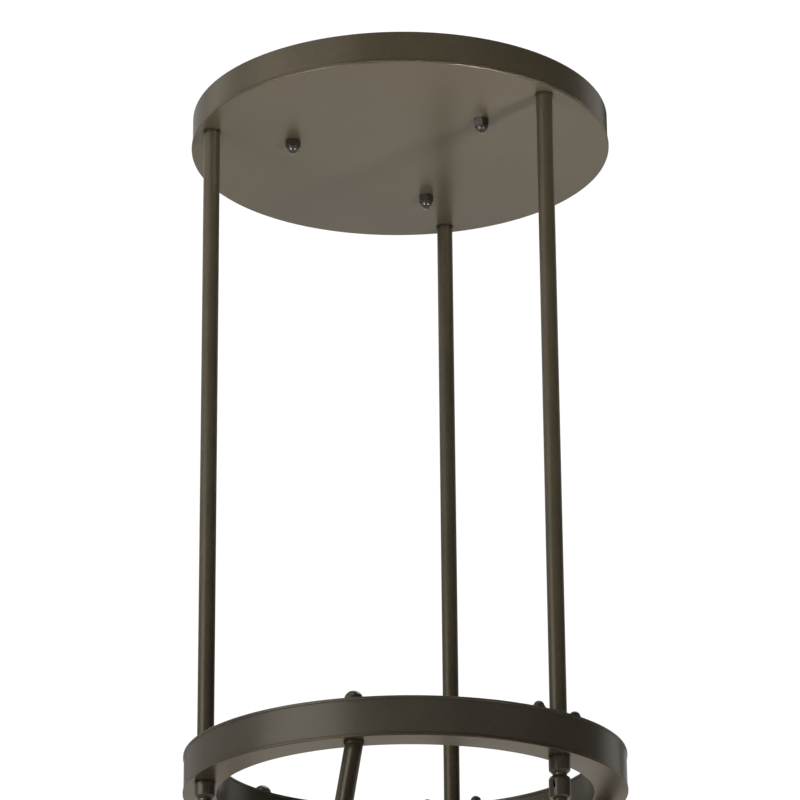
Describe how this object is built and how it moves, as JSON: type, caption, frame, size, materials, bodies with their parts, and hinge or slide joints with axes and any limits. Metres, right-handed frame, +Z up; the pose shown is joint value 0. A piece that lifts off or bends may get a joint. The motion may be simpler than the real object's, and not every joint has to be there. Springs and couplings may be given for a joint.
{
  "type": "chandelier",
  "caption": "Chandelier with a round canopy, straight rods, a box-section ring, splayed arms and swivelling pendants, each with a glass shade.",
  "frame": {"origin": "middle of the ceiling plane, between the two holes for the outlet box's screws", "axes": "+Z up to the ceiling, +X along the line of the two screw holes, the front arm towards -Y"},
  "size_m": [0.7744, 0.686, 1.0595],
  "materials": {
    "bronze": "satin dark bronze",
    "steel": "zinc plated",
    "brass": "antique brass",
    "lampholder": "moulded black",
    "shade_glass": "clear blown glass",
    "bulb_glass": "frosted glass"
  },
  "bodies": {
    "frame": {"arm_bulbs": "bulb_glass", "arm_collars": "bronze", "arm_dome_nuts": "bronze", "arm_front": "bronze", "arm_glass_shades": "shade_glass", "arm_lampholders": "lampholder", "arm_left": "bronze", "arm_right": "bronze", "arm_shade_holders": "bronze", "arm_shade_rings": "brass", "arm_studs": "steel", "canopy_cap_nuts": "bronze", "canopy_plate": "bronze", "canopy_rim": "bronze", "couplings": "bronze", "foot_bolts": "steel", "foot_cap_nuts": "bronze", "mounting_plate": "steel", "mounting_studs": "steel", "neck_rings": "brass", "ring_bottom_plate": "bronze", "ring_inner_band": "bronze", "ring_nipples": "steel", "ring_outer_band": "bronze", "ring_top_plate": "bronze", "rod_back": "bronze", "rod_feet": "steel", "rod_left": "bronze", "rod_right": "bronze", "rod_seat_washers": "bronze", "rod_top_nipples": "steel", "rod_top_nuts": "steel", "swivel_bolts": "steel"},
    "swivel_back": {"swivel_body_back": "bronze", "swivel_fork_back": "bronze", "swivel_pin_back": "steel"},
    "pendant_back": {"pendant_stem_back": "bronze", "shade_holder_back": "bronze", "lampholder_back": "lampholder", "shade_ring_back": "brass", "glass_shade_back": "shade_glass", "bulb_back": "bulb_glass"},
    "swivel_left": {"swivel_body_left": "bronze", "swivel_fork_left": "bronze", "swivel_pin_left": "steel"},
    "pendant_left": {"pendant_stem_left": "bronze", "shade_holder_left": "bronze", "lampholder_left": "lampholder", "shade_ring_left": "brass", "glass_shade_left": "shade_glass", "bulb_left": "bulb_glass"},
    "swivel_right": {"swivel_body_right": "bronze", "swivel_fork_right": "bronze", "swivel_pin_right": "steel"},
    "pendant_right": {"pendant_stem_right": "bronze", "shade_holder_right": "bronze", "lampholder_right": "lampholder", "shade_ring_right": "brass", "glass_shade_right": "shade_glass", "bulb_right": "bulb_glass"}
  },
  "joints": [
    {"name": "swivel_turn_back", "type": "hinge", "parent": "frame", "child": "swivel_back", "pos_m": [0, 0.1885, -0.6954], "axis": [0, 0, 1], "range_deg": [-170, 170]},
    {"name": "pendant_tilt_back", "type": "hinge", "parent": "swivel_back", "child": "pendant_back", "pos_m": [0, 0.1885, -0.7273], "axis": [-1, 0, 0], "range_deg": [-15, 15]},
    {"name": "swivel_turn_left", "type": "hinge", "parent": "frame", "child": "swivel_left", "pos_m": [-0.16325, -0.09425, -0.6954], "axis": [0, 0, 1], "range_deg": [-170, 170]},
    {"name": "pendant_tilt_left", "type": "hinge", "parent": "swivel_left", "child": "pendant_left", "pos_m": [-0.16325, -0.09425, -0.7273], "axis": [0.5, -0.866, 0], "range_deg": [-15, 15]},
    {"name": "swivel_turn_right", "type": "hinge", "parent": "frame", "child": "swivel_right", "pos_m": [0.16325, -0.09425, -0.6954], "axis": [0, 0, 1], "range_deg": [-170, 170]},
    {"name": "pendant_tilt_right", "type": "hinge", "parent": "swivel_right", "child": "pendant_right", "pos_m": [0.16325, -0.09425, -0.7273], "axis": [0.5, 0.866, 0], "range_deg": [-15, 15]}
  ]
}
